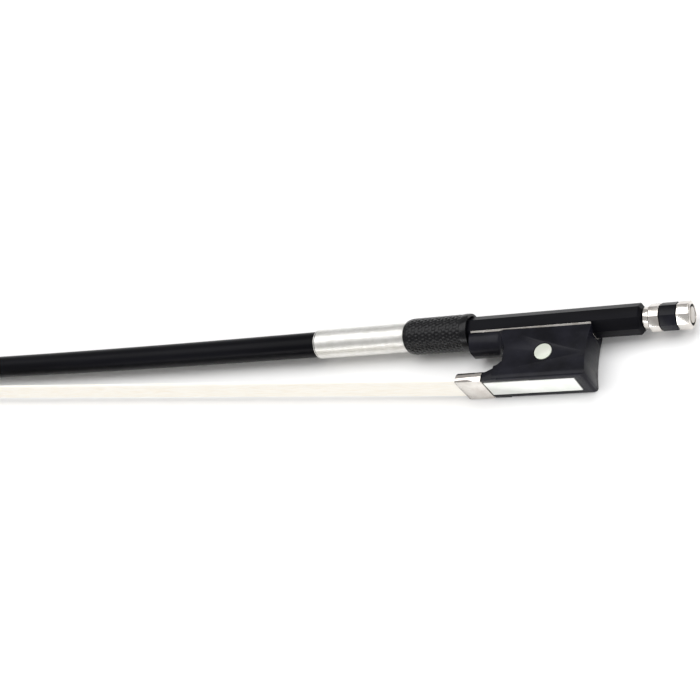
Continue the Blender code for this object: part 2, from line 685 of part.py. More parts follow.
def nose_shaper():
    """What is cut from beside and below the thumb projection. It leaves a half-round underside, which
    widens and deepens in the throat until it has run out into the cheeks."""
    top_y = FACET_Y + BED_HEIGHT
    depth, half = top_y - FACET_Y + NOSE_DEPTH, NOSE_WIDTH / 2
    throat_x = throat_middle_x()
    out = CHEEK_LOW_WIDTH
    rings = []
    for x, growth in ((-FROG_FRONT - MM, 0.0), (throat_x - MM, 0.0), (throat_x, 0.06),
                      (throat_x + THROAT_ROUND / 2, 0.25), (throat_x + THROAT_ROUND, 0.6)):
        wide = half * (1 + growth)
        low_y = top_y - 1.8 * depth
        ring = [(top_y + MM, out), (low_y, out), (low_y, -out), (top_y + MM, -out), (top_y + MM, -wide)]
        ring += arc((top_y, 0), (depth * (1 + growth), wide), 270, 90, 16)
        ring.append((top_y + MM, wide))
        rings.append([(x, y, z) for y, z in ring])
    return skin(rings)


def saddle_rings():
    """From the ferrule's D shape to the cheeks: superellipses that grow squarer and higher-shouldered."""
    rings = []
    crown_y = FERRULE_BOTTOM_Y + FERRULE_HEIGHT
    for t in np.linspace(0, 1, 6):
        shoulder_y = FERRULE_BOTTOM_Y + FERRULE_SHOULDER + SADDLE_RISE * t
        half = FERRULE_WIDTH / 2 + (cheek_half(shoulder_y) - FERRULE_WIDTH / 2) * t
        power = 2 / (2 + SADDLE_SQUARENESS * t ** 2)
        upper = []
        for a in np.radians(np.linspace(90, -90, 21)):
            y = shoulder_y + (crown_y - shoulder_y) * abs(math.cos(a)) ** power
            upper.append((y, half * math.copysign(abs(math.sin(a)) ** power, a)))
        outline = [(FROG_UNDERSIDE_Y, half)] + upper + [(FROG_UNDERSIDE_Y, -half)]
        x = FERRULE_REAR_X + GAP + SADDLE_LENGTH * t
        rings.append([(x, y, z) for y, z in outline])
    return rings


def mirrored(half):
    """A whole outline in (y, z) from its half at positive z."""
    return half + [(y, -z) for y, z in reversed(half)]


def ferrule_outline(inset, bottom_inset):
    """The ferrule's D shape in (y, z), drawn in by inset at the sides and top."""
    shoulder_y = FERRULE_BOTTOM_Y + FERRULE_SHOULDER
    radii = (FERRULE_HEIGHT - FERRULE_SHOULDER - inset, FERRULE_WIDTH / 2 - inset)
    half = [(FERRULE_BOTTOM_Y + bottom_inset, radii[1])] + arc((shoulder_y, 0), radii, 90, 0, 8)[:-1]
    top = [(shoulder_y + radii[0], 0.0)]
    return half + top + [(y, -z) for y, z in reversed(half)]


def frog_blank():
    """The frog's outer solid: cheeks, rounded saddle behind the ferrule and the tongue inside it."""
    bed_y = FACET_Y + BED_HEIGHT
    band_y = FROG_UNDERSIDE_Y + RIM_BEVEL + RIM_HEIGHT
    wide = CHEEK_LOW_WIDTH / 2
    section = mirrored([
        (bed_y, cheek_half(bed_y)),
        (band_y, wide),
        (FROG_UNDERSIDE_Y + RIM_BEVEL, wide),
        (FROG_UNDERSIDE_Y, wide - RIM_BEVEL),
    ])
    side = piece("frog_side", slab(frog_side(), -CHEEK_LOW_WIDTH, CHEEK_LOW_WIDTH), None)
    body = piece("frog_body", slab(section, -FROG_FRONT - MM, HEEL_X + MM, "x"), black_horn("frog_body"), FROG)
    cut(body, side, "INTERSECT")
    cut(body, piece("nose_shaper", nose_shaper(), None))
    saddle_x = FERRULE_REAR_X + GAP
    cut(body, piece("saddle", skin(saddle_rings()), None), "UNION")
    tongue_inset = FERRULE_WALL + GAP
    crown_y = FERRULE_BOTTOM_Y + FERRULE_HEIGHT - tongue_inset
    lift = crown_y - TONGUE_THICKNESS - FERRULE_BOTTOM_Y
    tongue = piece("tongue", slab(tongue_outline(tongue_inset, lift), FERRULE_FRONT_X + GAP,
                                  saddle_x + SADDLE_LENGTH / 2, "x"), None)
    cut(body, tongue, "UNION")
    return body


def tongue_outline(inset, lift):
    """The top of the ferrule's D shape, above a flat that is lift higher than the ferrule's bottom."""
    shoulder_y = FERRULE_BOTTOM_Y + FERRULE_SHOULDER
    radii = (FERRULE_HEIGHT - FERRULE_SHOULDER - inset, FERRULE_WIDTH / 2 - inset)
    start = math.degrees(math.asin((FERRULE_BOTTOM_Y + lift - shoulder_y) / radii[0]))
    return arc((shoulder_y, 0), radii, 90 - start, start - 90, 10)


def frog_cuts(body):
    """The bed, the slide's channel, the hair's recess and mortise, and the holes."""
    reach = FROG_FRONT + MM
    cut(body, piece("bed", slab(bed_outline(BED_DISTANCE, STICK_FLATS), -reach, MM, "x"), None))
    channel_end = HEEL_X - SLIDE_FROM_HEEL + GAP
    channel = slab(slide_outline(-MM, SLIDE_ROOF_Y - FROG_UNDERSIDE_Y, GAP), FERRULE_REAR_X - MM, channel_end, "x")
    cut(body, piece("slide_channel", channel, None))
    front, rear = mortise_x()
    half = HAIR_WIDTH_FROG_MORTISE / 2 + GAP
    recess_roof = SLIDE_ROOF_Y + HAIR_THICKNESS + GAP
    recess = box((FERRULE_REAR_X - MM, FROG_UNDERSIDE_Y, -half - GAP), (rear, recess_roof, half + GAP))
    cut(body, piece("hair_recess", recess, None))
    mortise = box((front, FROG_UNDERSIDE_Y, -half), (rear, SLIDE_ROOF_Y + FROG_MORTISE_DEPTH, half))
    cut(body, piece("frog_mortise", mortise, None))
    stem_low = FACET_Y - STEM_LENGTH - GAP
    hole = slab(disc((EYELET_X, 0), STEM_RADIUS + GAP), stem_low, 0, "y")
    cut(body, piece("stem_hole", hole, None))
    for number, x in enumerate(pin_places()):
        pin_hole = slab(disc((x, 0), PIN_RADIUS + GAP, 12), pin_bottom() - GAP, 0, "y")
        cut(body, piece("pin_hole_%d" % number, pin_hole, None))
    for side in (1, -1):
        recess = eye_disc(side, EYE_RADIUS + GAP, EYE_THICKNESS + GAP, MM)
        cut(body, piece("eye_recess_%d" % side, recess, None))


def bed_outline(distance, top):
    """A channel in (y, z) whose three facets lie this far from the screw's axis, open to the top."""
    corner = distance * math.tan(math.pi / 8)
    wing_z = distance * math.sqrt(2) + top
    return [(-distance, corner), (top, wing_z), (top, -wing_z), (-distance, -corner)]


def slide_outline(low, high, side_gap):
    """The slide's dovetail in (y, z) between two depths above the frog's underside."""
    half = PEARL_WIDTH / 2 + side_gap
    return mirrored([(FROG_UNDERSIDE_Y + d, half + DOVETAIL * max(d, 0.0)) for d in (low, 0.0, high) if d >= low])


def pin_places():
    return -FROG_FRONT + PIN_SETBACK, HEEL_X - PIN_SETBACK


def pin_bottom():
    return FACET_Y - SLIDE_GAP - PIN_LENGTH


def eye_disc(side, radius, depth, proud):
    """A disc square to the leaning cheek, from depth inside it to proud of it."""
    y = FACET_Y - EYE_DEPTH
    drop = 0.1 * MM
    lean = (cheek_half(y - drop) - cheek_half(y)) / drop
    out = np.array([0, lean, 1.0]) / math.hypot(lean, 1.0)
    down = np.array([0, -1.0, lean]) / math.hypot(lean, 1.0)
    center = np.array([HEEL_X - EYE_FROM_HEEL, y, cheek_half(y)])
    flip = np.array([1, 1, side])
    rings = []
    for level in (-depth, proud):
        rings.append([(center + out * level + np.array([a, 0, 0]) + down * b) * flip
                      for a, b in disc((0, 0), radius)])
    return skin(rings)


def make_frog(frog):
    """The frog and everything let into it or fixed on it."""
    frog_cuts(frog_blank())
    for name, side in (("near_eye", 1), ("far_eye", -1)):
        piece(name, eye_disc(side, EYE_RADIUS, EYE_THICKNESS, 0.0), pearl(name), frog)

    outer, inner = ferrule_outline(0.0, 0.0), ferrule_outline(FERRULE_WALL, FERRULE_WALL)
    rings = []
    for x, outline in ((FERRULE_FRONT_X, outer), (FERRULE_REAR_X, outer), (FERRULE_REAR_X, inner),
                       (FERRULE_FRONT_X, inner)):
        rings.append([(x, y, z) for y, z in outline])
    piece("ferrule", skin(rings, loop=True), nickel("ferrule"), frog)

    slide_front, slide_rear = FERRULE_REAR_X + GAP, HEEL_X - SLIDE_FROM_HEEL
    pearl_slide = slab(slide_outline(0.0, PEARL_THICKNESS, 0.0), slide_front, slide_rear, "x")
    piece("pearl_slide", pearl_slide, pearl("pearl_slide"), frog)
    low = PEARL_THICKNESS + GAP
    backing = slab(slide_outline(low, low + BACKING_THICKNESS, 0.0), slide_front, slide_rear, "x")
    piece("slide_backing", backing, nickel("slide_backing"), frog)
    make_lining(frog)
    make_frog_stuffing(frog)
    make_eyelet(frog)


def make_lining(frog):
    """The bent strip between the frog and the stick, and the two nails that hold it."""
    near = STICK_FLATS / 2 + SLIDE_GAP
    far = near + LINING_THICKNESS
    wing_y = FACET_Y + LINING_HEIGHT
    half = [
        (wing_y, near * math.sqrt(2) + wing_y),
        (-near, near * math.tan(math.pi / 8)),
    ]
    back = [
        (-far, far * math.tan(math.pi / 8)),
        (wing_y, far * math.sqrt(2) + wing_y),
    ]
    outline = half + [(y, -z) for y, z in reversed(half)] + [(y, -z) for y, z in reversed(back)] + back
    front_x, rear_x = -FROG_FRONT + LINING_SETBACK, HEEL_X - LINING_SETBACK
    lining = piece("underslide", slab(outline, front_x, rear_x, "x"), nickel("underslide"), frog)
    holes = [(EYELET_X, STEM_RADIUS, RING_POINTS)] + [(x, PIN_RADIUS, 12) for x in pin_places()]
    for number, (x, radius, sides) in enumerate(holes):
        hole = slab(disc((x, 0), radius + GAP, sides), FACET_Y - MM, FACET_Y + MM, "y")
        cut(lining, piece("lining_hole_%d" % number, hole, None))
    for name, x in zip(("underslide_pin_front", "underslide_pin_rear"), pin_places()):
        pin = slab(disc((x, 0), PIN_RADIUS, 12), pin_bottom(), -near, "y")
        piece(name, pin, nickel(name), frog)


def make_frog_stuffing(frog):
    """What holds the hair in the frog: the plug, the knot and the wedge that spreads it."""
    front, rear = mortise_x()
    half = HAIR_WIDTH_FROG_MORTISE / 2
    plug_low, plug_top = SLIDE_ROOF_Y + HAIR_THICKNESS + GAP, frog_plug_top()
    plug_rear = rear - 2 * GAP - HAIR_THICKNESS
    plug = box((front + GAP, plug_low, -half), (plug_rear, plug_top, half))
    piece("frog_plug", plug, plug_wood("frog_plug"), frog)
    roof = SLIDE_ROOF_Y + FROG_MORTISE_DEPTH
    radii = (FROG_MORTISE_LENGTH / 2 - 2 * GAP, (roof - plug_top) / 2 - GAP)
    knot = slab(arc(((front + rear) / 2 + GAP, (plug_top + roof) / 2), radii, 0, 330, 11), -half, half)
    piece("frog_knot", knot, thread("frog_knot"), frog)

    x, y = frog_hair_places()[1]
    rear_x, level = frog_hair_places()[2]
    climb = (level - y) / (rear_x - x)
    crown_y = FERRULE_BOTTOM_Y + FERRULE_HEIGHT - FERRULE_WALL - GAP
    wedge_top = crown_y - TONGUE_THICKNESS - GAP
    wedge_front = FERRULE_FRONT_X + GAP
    wedge_rear = wedge_front + WEDGE_LENGTH
    over = HAIR_THICKNESS / 2 + GAP
    outline = [
        (wedge_front, y + over),
        (x, y + over),
        (wedge_rear, y + over + climb * (wedge_rear - x)),
        (wedge_rear, wedge_top),
        (wedge_front, wedge_top),
    ]
    shoulder_y = FERRULE_BOTTOM_Y + FERRULE_SHOULDER
    rise = (wedge_top - shoulder_y) / (FERRULE_HEIGHT - FERRULE_SHOULDER - FERRULE_WALL)
    wedge_half = (FERRULE_WIDTH / 2 - FERRULE_WALL) * math.sqrt(1 - rise ** 2) - GAP
    piece("spread_wedge", slab(outline, -wedge_half, wedge_half), plug_wood("spread_wedge"), frog)


def make_eyelet(frog):
    """The brass nut on its stem, bored for the screw."""
    low, high = FACET_Y + GAP, EYELET_TOP
    half, corner = EYELET_LENGTH / 2, EYELET_CORNER
    outline = [(EYELET_X - half, low), (EYELET_X + half, low)]
    outline += arc((EYELET_X + half - corner, high - corner), (corner, corner), 0, 90, 3)
    outline += arc((EYELET_X - half + corner, high - corner), (corner, corner), 90, 180, 3)
    eyelet = piece("eyelet", slab(outline, -EYELET_WIDTH / 2, EYELET_WIDTH / 2), brass("eyelet"), frog)
    stem = slab(disc((EYELET_X, 0), STEM_RADIUS), FACET_Y - STEM_LENGTH, low + GAP, "y")
    cut(eyelet, piece("stem", stem, None), "UNION")
    bore = screw_rod(EYELET_X - EYELET_LENGTH, EYELET_X + EYELET_LENGTH, SCREW_RADIUS + SLIDE_GAP)
    cut(eyelet, piece("eyelet_bore", bore, None))


def thread_rings(x_start, x_end):
    """Rings of a right-hand thread: the radius falls and rises once a turn along a helix, and runs
    out into the plain rod at both ends."""
    count = max(2, round((x_start - x_end) / THREAD_PITCH * THREAD_STEPS))
    angles = ring_angles(SCREW_SIDES)
    rings = []
    for x in np.linspace(x_start, x_end, count + 1):
        run_out = min(1.0, (x_start - x) / THREAD_PITCH, (x - x_end) / THREAD_PITCH)
        turn = (x / THREAD_PITCH - angles / (2 * math.pi)) % 1.0
        groove = 1 - np.abs(2 * turn - 1)
        r = SCREW_RADIUS - THREAD_DEPTH * groove * max(run_out, 0.0)
        rings.append(np.stack([np.full(SCREW_SIDES, x), r * np.cos(angles), r * np.sin(angles)], 1))
    return rings


def make_screw(turning):
    """The screw: a rod with a stretch of thread, a plain tip and a square end for the button."""
    rod_end = NIPPLE_END
    spare = (THREAD_LENGTH - EYELET_LENGTH - TRAVEL) / 2
    thread_rear = EYELET_X + EYELET_LENGTH / 2 + TRAVEL + spare
    thread_front = thread_rear - THREAD_LENGTH
    rings = [turned_ring(rod_end, SCREW_RADIUS, 0.0, SCREW_SIDES)]
    rings += thread_rings(thread_rear, thread_front)
    rings.append(turned_ring(thread_front - THREAD_PITCH, SCREW_TIP_RADIUS, 0.0, SCREW_SIDES))
    rings.append(turned_ring(-SCREW_REACH + SCREW_TIP_RADIUS, SCREW_TIP_RADIUS, 0.0, SCREW_SIDES))
    rings.append(turned_ring(-SCREW_REACH, SCREW_TIP_RADIUS / 2, 0.0, SCREW_SIDES))
    screw = piece("screw", skin(rings), steel("screw"), turning)
    shank = box((rod_end - GAP, -SHANK_HALF, -SHANK_HALF), (shank_end(), SHANK_HALF, SHANK_HALF))
    cut(screw, piece("shank", shank, None), "UNION")


def rear_ring_x():
    """Front of the rear ring."""
    return BUTTON_START + FRONT_RING_LENGTH + CORE_LENGTH


def shank_end():
    return rear_ring_x() + REAR_RING_LENGTH / 2


def make_button(turning):
    """The black core, the two rings on its ends and the pale eye."""
    half = BUTTON_FLATS / 2
    bore = half - RING_WALL
    front, rear = BUTTON_START, rear_ring_x()
    front_end, facets_end = front + FRONT_RING_LENGTH, rear + REAR_RING_LENGTH
    end = facets_end + END_DOME
    neck = NIPPLE_RADIUS + GAP
    front_ring = [
        (front - COLLAR_LENGTH, neck),
        (front - COLLAR_LENGTH, COLLAR_RADIUS),
        (front, COLLAR_RADIUS),
        (front, half - RING_BEVEL, 1.0),
        (front + RING_BEVEL, half, 1.0),
        (front_end, half, 1.0),
        (front_end, bore, 1.0),
        (front + RING_END_WALL, bore, 1.0),
        (front + RING_END_WALL, neck),
    ]
    piece("button_front_ring", turned(front_ring, closed=True), nickel("button_front_ring"), turning)

    lip = BUTTON_EYE_RADIUS + GAP + EYE_LIP
    rear_ring = [
        (rear, bore, 1.0),
        (rear, half, 1.0),
        (facets_end, half, 1.0),
        (end, half - END_DOME, 1.0),
        (end, lip + GAP),
        (end - RING_END_WALL, lip + GAP),
        (end - RING_END_WALL, bore, 1.0),
    ]
    piece("button_rear_ring", turned(rear_ring, closed=True), nickel("button_rear_ring"), turning)

    spigot = bore - GAP
    seat_front = NIPPLE_END + GAP
    seat_rear = end - RING_END_WALL - GAP
    eye_low = end - BUTTON_EYE_THICKNESS
    core = [
        (seat_front, spigot, 1.0),
        (front_end + GAP, spigot, 1.0),
        (front_end + GAP, half, 1.0),
        (rear - GAP, half, 1.0),
        (rear - GAP, spigot, 1.0),
        (seat_rear, spigot, 1.0),
        (seat_rear, lip),
        (end - GAP / 2, lip),
        (end - GAP / 2, lip - EYE_LIP),
        (eye_low - GAP, lip - EYE_LIP),
    ]
    button_core = piece("button_core", turned(core), black_horn("button_core"), turning)
    hole_half = SHANK_HALF + GAP
    hole = box((0, -hole_half, -hole_half), (shank_end() + GAP, hole_half, hole_half))
    cut(button_core, piece("shank_hole", hole, None))
    eye = screw_rod(eye_low, end, BUTTON_EYE_RADIUS)
    piece("button_eye", eye, pearl("button_eye"), turning)


def set_on_table(bow):
    """Moves the whole bow so that its box is centred over the origin and stands on Z = 0."""
    graph = bpy.context.evaluated_depsgraph_get()
    corners = []
    for thing in bpy.context.scene.objects:
        if thing.type == "MESH" and not thing.hide_render:
            shown = thing.evaluated_get(graph)
            corners += [shown.matrix_world @ vertex.co for vertex in shown.data.vertices]
    corners = np.array(corners)
    low, high = corners.min(0), corners.max(0)
    bow.location = (-(low[0] + high[0]) / 2, -(low[1] + high[1]) / 2, -low[2])


clear_scene()
BOW = carrier("bow", (0, 0, 0))
FROG = carrier("frog_on_stick", (EYELET_X, 0, 0), BOW)
SCREW = carrier("screw_in_stick", (0, 0, 0), BOW)
make_stick(BOW)
make_tip(BOW)
make_winding(BOW)
make_leather(BOW)
make_hair(BOW)
make_frog(FROG)
make_screw(SCREW)
make_button(SCREW)
set_on_table(BOW)
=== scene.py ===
import json
import math

import bpy
import numpy as np
from mathutils import Matrix, Vector


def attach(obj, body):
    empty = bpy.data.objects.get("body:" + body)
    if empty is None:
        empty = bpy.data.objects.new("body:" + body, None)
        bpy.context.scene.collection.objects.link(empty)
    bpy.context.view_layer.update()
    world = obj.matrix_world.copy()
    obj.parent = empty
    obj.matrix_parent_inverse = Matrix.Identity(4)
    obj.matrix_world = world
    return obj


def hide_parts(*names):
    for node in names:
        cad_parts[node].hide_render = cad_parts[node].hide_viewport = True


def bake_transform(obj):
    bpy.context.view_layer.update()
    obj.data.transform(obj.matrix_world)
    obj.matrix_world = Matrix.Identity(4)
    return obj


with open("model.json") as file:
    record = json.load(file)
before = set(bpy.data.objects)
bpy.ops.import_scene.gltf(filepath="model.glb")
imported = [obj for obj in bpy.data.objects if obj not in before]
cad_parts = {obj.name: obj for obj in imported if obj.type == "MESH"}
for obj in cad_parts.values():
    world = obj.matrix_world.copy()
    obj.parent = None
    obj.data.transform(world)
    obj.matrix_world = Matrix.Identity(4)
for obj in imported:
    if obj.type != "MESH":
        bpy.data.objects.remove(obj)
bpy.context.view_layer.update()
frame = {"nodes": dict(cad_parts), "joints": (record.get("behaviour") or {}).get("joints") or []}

# The bow's own axes: X runs along the screw towards the button, from the butt end of the stick.
# Y runs from the hair to the stick and Z is up. Sizes below are in millimetres on these axes.
MM = 0.001
BUTT = np.array(next(j for j in frame["joints"] if j["name"] == "screw_turn")["pos_m"], float)


# The stick: a black composite rod moulded in one with its head.
# Its handle is octagonal under the frog and turns round under the leather, and from the grip it
# tapers and bends up to the head, whose ridge stands over the tip plate.
STICK_LENGTH = 730.6
STICK_FLATS = 9.1
OCTAGON_LENGTH = 64.0
ROUND_START = 79.0
ROUND_RADIUS = 4.4
NECK_RADIUS = 2.7
CAMBER_START = 121.7
CAMBER_RISE = 31.0
GRIP_END = 117.2
HEAD_LENGTH = 25.0
HEAD_WIDTH = 11.0
HAIR_RISE = 0.0504
HAIR_THICKNESS = 0.85
SEAT = 0.3
HEAD_BASE = 2.4
HEAD_RING_POINTS = 72
HAIR_MOUTH = np.array([-58.9, -20.025])
HAIR_TILT = math.atan(HAIR_RISE)
PLATE_HEEL_X = -STICK_LENGTH + HEAD_LENGTH * math.cos(HAIR_TILT)
FACE_LIFT = HAIR_THICKNESS / 2 + SEAT
HEAD_STATIONS = np.array([
    (-8.0, 0.973, -9.5, 0.700, 0.52, 0.10),
    (-2.0, 0.990, -6.2, 0.685, 0.55, 0.25),
    (3.5, 0.965, -3.6, 0.635, 0.60, 0.45),
    (8.0, 0.875, -1.7, 0.540, 0.68, 0.65),
    (11.0, 0.720, -0.7, 0.430, 0.77, 0.80),
    (13.0, 0.530, -0.2, 0.330, 0.85, 0.90),
    (15.3, 0.370, 0.0, 0.250, 0.91, 1.00),
    (19.0, 0.250, 0.0, 0.180, 0.96, 1.00),
])


def finished(name, rings, body, sharp=32.0, loop=False):
    """A closed skin over a grid of rings of points in millimetres, as a piece that rides on a body.

    Neighbouring rings are joined by quads. With loop, the last ring joins the first, and otherwise a
    fan of triangles closes each end round the middle of its ring.
    """
    rings = np.asarray(rings, float)
    count, around = rings.shape[:2]
    points = rings.reshape(-1, 3)
    spans = count if loop else count - 1
    i, j = np.meshgrid(np.arange(spans), np.arange(around), indexing="ij")
    here, beyond = i * around, (i + 1) % count * around
    k = (j + 1) % around
    quads = np.stack([here + j, here + k, beyond + k, beyond + j], -1).reshape(-1, 4)
    faces = quads.tolist()
    if not loop:
        points = np.vstack([points, rings[0].mean(0), rings[-1].mean(0)])
        first, last = len(points) - 2, len(points) - 1
        turn = np.arange(around)
        onward = (turn + 1) % around
        base = (count - 1) * around
        faces += np.stack([onward, turn, np.full(around, first)], 1).tolist()
        faces += np.stack([base + turn, base + onward, np.full(around, last)], 1).tolist()
    return surface(name, points, faces, body, sharp)


def surface(name, points, faces, body, sharp=32.0):
    """A mesh from points in millimetres and faces, with its faces turned outwards and smooth up to
    the sharp angle. It rides on a body when one is given, and is left free otherwise."""
    mesh = bpy.data.meshes.new(name)
    mesh.from_pydata((BUTT + np.asarray(points) * MM).tolist(), [], faces)
    mesh.update()
    if mesh_volume(mesh) < 0:
        mesh.flip_normals()
    mesh.shade_smooth()
    mesh.set_sharp_from_angle(angle=math.radians(sharp))
    piece = bpy.data.objects.new(name, mesh)
    bpy.context.collection.objects.link(piece)
    if body:
        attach(piece, body)
    return piece


def mesh_volume(mesh):
    """Signed volume: the sum over the triangles of a . (b x c) / 6."""
    mesh.calc_loop_triangles()
    places = np.empty(len(mesh.vertices) * 3)
    mesh.vertices.foreach_get("co", places)
    places = places.reshape(-1, 3)
    corners = np.empty(len(mesh.loop_triangles) * 3, dtype=np.int32)
    mesh.loop_triangles.foreach_get("vertices", corners)
    a, b, c = places[corners.reshape(-1, 3)].transpose(1, 0, 2)
    return float(np.einsum("ij,ij->i", a, np.cross(b, c)).sum() / 6)


def shader_of(name, color, roughness, metallic=0.0, coat=0.0, sheen=0.0, specular=0.5):
    """A material with one Principled shader, whose plain values sit on the shader's own sockets."""
    material = bpy.data.materials.new(name)
    material.use_nodes = True
    shader = material.node_tree.nodes["Principled BSDF"]
    shader.inputs["Base Color"].default_value = (*color, 1.0)
    shader.inputs["Roughness"].default_value = roughness
    shader.inputs["Metallic"].default_value = metallic
    shader.inputs["Coat Weight"].default_value = coat
    shader.inputs["Coat Roughness"].default_value = 0.12
    shader.inputs["Sheen Weight"].default_value = sheen
    shader.inputs["Specular IOR Level"].default_value = specular
    return material


def noise_on(material, stretch, scale, detail=4.0):
    """Noise on Object coordinates, finer along the axes with a larger stretch."""
    nodes, links = material.node_tree.nodes, material.node_tree.links
    place = nodes.new("ShaderNodeTexCoord")
    mapping = nodes.new("ShaderNodeMapping")
    mapping.inputs["Scale"].default_value = stretch
    noise = nodes.new("ShaderNodeTexNoise")
    noise.inputs["Scale"].default_value = scale
    noise.inputs["Detail"].default_value = detail
    links.new(place.outputs["Object"], mapping.inputs["Vector"])
    links.new(mapping.outputs["Vector"], noise.inputs["Vector"])
    return noise.outputs["Fac"]


def tint(material, fac, dark, light, low=0.35, high=0.65):
    """Colours the material between two tones by a noise value."""
    nodes, links = material.node_tree.nodes, material.node_tree.links
    ramp = nodes.new("ShaderNodeValToRGB")
    ramp.color_ramp.elements[0].position = low
    ramp.color_ramp.elements[0].color = (*dark, 1.0)
    ramp.color_ramp.elements[1].position = high
    ramp.color_ramp.elements[1].color = (*light, 1.0)
    links.new(fac, ramp.inputs["Fac"])
    links.new(ramp.outputs["Color"], nodes["Principled BSDF"].inputs["Base Color"])


def vary_roughness(material, fac, low, high):
    nodes, links = material.node_tree.nodes, material.node_tree.links
    spread = nodes.new("ShaderNodeMapRange")
    spread.inputs["To Min"].default_value = low
    spread.inputs["To Max"].default_value = high
    links.new(fac, spread.inputs["Value"])
    links.new(spread.outputs["Result"], nodes["Principled BSDF"].inputs["Roughness"])


def relief(material, fac, strength, distance):
    """Raises the surface by the noise: distance in metres."""
    nodes, links = material.node_tree.nodes, material.node_tree.links
    bump = nodes.new("ShaderNodeBump")
    bump.inputs["Strength"].default_value = strength
    bump.inputs["Distance"].default_value = distance
    links.new(fac, bump.inputs["Height"])
    links.new(bump.outputs["Normal"], nodes["Principled BSDF"].inputs["Normal"])


def around_angles(points):
    return (np.arange(points) + 0.5) * 2 * math.pi / points


def turned_rings(profile, points=72):
    """Rings about the screw's axis. Each row of the profile is x, radius and how octagonal it is:
    the radius grows by 1/cos of the angle from the nearest flat."""
    angles = around_angles(points)
    eighth = math.pi / 4
    off = (angles + eighth / 2) % eighth - eighth / 2
    rows = np.array([(row + (0.0,))[:3] for row in profile])
    radius = rows[:, 1:2] * ((1 - rows[:, 2:3]) + rows[:, 2:3] / np.cos(off)[None])
    x = np.repeat(rows[:, 0:1], points, 1)
    return np.stack([x, radius * np.cos(angles), radius * np.sin(angles)], -1)


def stick_line(x):
    """Middle of the stick and its radius at x. Past the grip the stick rises by a mix of the square
    and the cube of the distance, and thins by a mix of the distance and its square."""
    q = np.clip((-x - CAMBER_START) / (-PLATE_HEEL_X - CAMBER_START), 0, None)
    t = np.clip((-x - GRIP_END) / (-PLATE_HEEL_X - GRIP_END), 0, None)
    height = CAMBER_RISE * (0.6 * q ** 2 + 0.4 * q ** 3)
    radius = ROUND_RADIUS - (ROUND_RADIUS - NECK_RADIUS) * (0.5 * t + 0.5 * t ** 2)
    return height, radius


def stick_across(x):
    """Unit vector across the stick at x, away from the hair."""
    rise = stick_line(x - 1.0)[0] - stick_line(x + 1.0)[0]
    return np.stack([rise, np.full_like(x, 2.0)], -1) / np.hypot(rise, 2.0)[..., None]


def head_place(s, h):
    """From the head's own axes, s towards the point and h towards the stick, to the bow's X and Y."""
    s, h = np.asarray(s, float), np.asarray(h, float) + FACE_LIFT
    c, n = math.cos(HAIR_TILT), math.sin(HAIR_TILT)
    foot = HAIR_MOUTH[1] + (HAIR_MOUTH[0] - PLATE_HEEL_X) * HAIR_RISE
    return np.stack([PLATE_HEEL_X - s * c + h * n, foot + s * n + h * c], -1)


def head_outline(depth, width, headness, points):
    """Distance from the back and half width round a section: w(1 - t^p)^q on each side of the widest
    line, with p and q going from the round stick's 2 and 1/2 to the head's ridge and flat back."""
    angles = around_angles(points)
    t = np.abs(np.cos(angles))
    front = np.cos(angles) > 0
    widest = 0.5 - 0.25 * headness
    share = np.where(front, widest + (1 - widest) * t, widest - widest * t)
    p = np.where(front, 2 + headness, 2 + 3 * headness)
    q = np.where(front, 0.5 + 0.5 * headness, 0.5 - 0.3 * headness)
    return share * depth, np.sign(np.sin(angles)) * width * (1 - t ** p) ** q


def smooth_rows(rows, steps):
    """A curve through all the rows, each step a cubic blend of its four neighbours."""
    padded = np.vstack([2 * rows[0] - rows[1], rows, 2 * rows[-1] - rows[-2]])
    t = (np.arange(steps) / steps)[None, :, None]
    a, b, c, d = (padded[k:k + len(rows) - 1][:, None] for k in range(4))
    curve = 0.5 * (2 * b + (c - a) * t + (2 * a - 5 * b + 4 * c - d) * t ** 2
                   + (3 * b - a - 3 * c + d) * t ** 3)
    return np.vstack([curve.reshape(-1, rows.shape[1]), rows[-1:]])


half = STICK_FLATS / 2
handle = [(1.5, 2.45), (1.35, 2.6), (-1.2, 2.6), (-1.2, half - 1.2, 0.5), (-1.3, half - 0.95, 0.7),
          (-1.9, half - 0.25, 1.0), (-2.15, half - 0.05, 1.0), (-2.4, half, 1.0)]
handle += [(float(x), half, 1.0) for x in np.linspace(-8, -OCTAGON_LENGTH, 8)]
for share in np.linspace(0, 1, 9)[1:]:
    handle.append((-OCTAGON_LENGTH - share * (ROUND_START - OCTAGON_LENGTH),
                   half + share * (ROUND_RADIUS - half), 1.0 - share))
angles = around_angles(HEAD_RING_POINTS)
shaft_x = np.linspace(-GRIP_END + 20, PLATE_HEEL_X + 14, 150)
shaft_y, shaft_r = stick_line(shaft_x)
across = stick_across(shaft_x)
reach = shaft_r[:, None] * np.cos(angles)
shaft = np.stack([shaft_x[:, None] + across[:, :1] * reach,
                  shaft_y[:, None] + across[:, 1:] * reach,
                  shaft_r[:, None] * np.sin(angles)], -1)
heel_x = np.array([PLATE_HEEL_X])
heel_y, heel_r = stick_line(heel_x)
crown = np.array([PLATE_HEEL_X, heel_y[0]]) + stick_across(heel_x)[0] * heel_r[0]
head_height = np.linalg.norm(crown - head_place(0, 0))
head = []
for front_s, front_h, back_s, back_h, width, headness in smooth_rows(HEAD_STATIONS, 9):
    front = head_place(front_s, front_h * head_height)
    back = head_place(back_s, back_h * head_height)
    depth = np.linalg.norm(front - back)
    share, z = head_outline(depth, width * HEAD_WIDTH / 2, headness, HEAD_RING_POINTS)
    head.append(np.column_stack([back + (front - back) / depth * share[:, None], z]))
share, z = head_outline(HEAD_LENGTH, HEAD_WIDTH / 2, 1.0, HEAD_RING_POINTS)
sweep = 1.6 * (np.clip(share - 13.0, 0, None) / (HEAD_LENGTH - 13.0)) ** 2
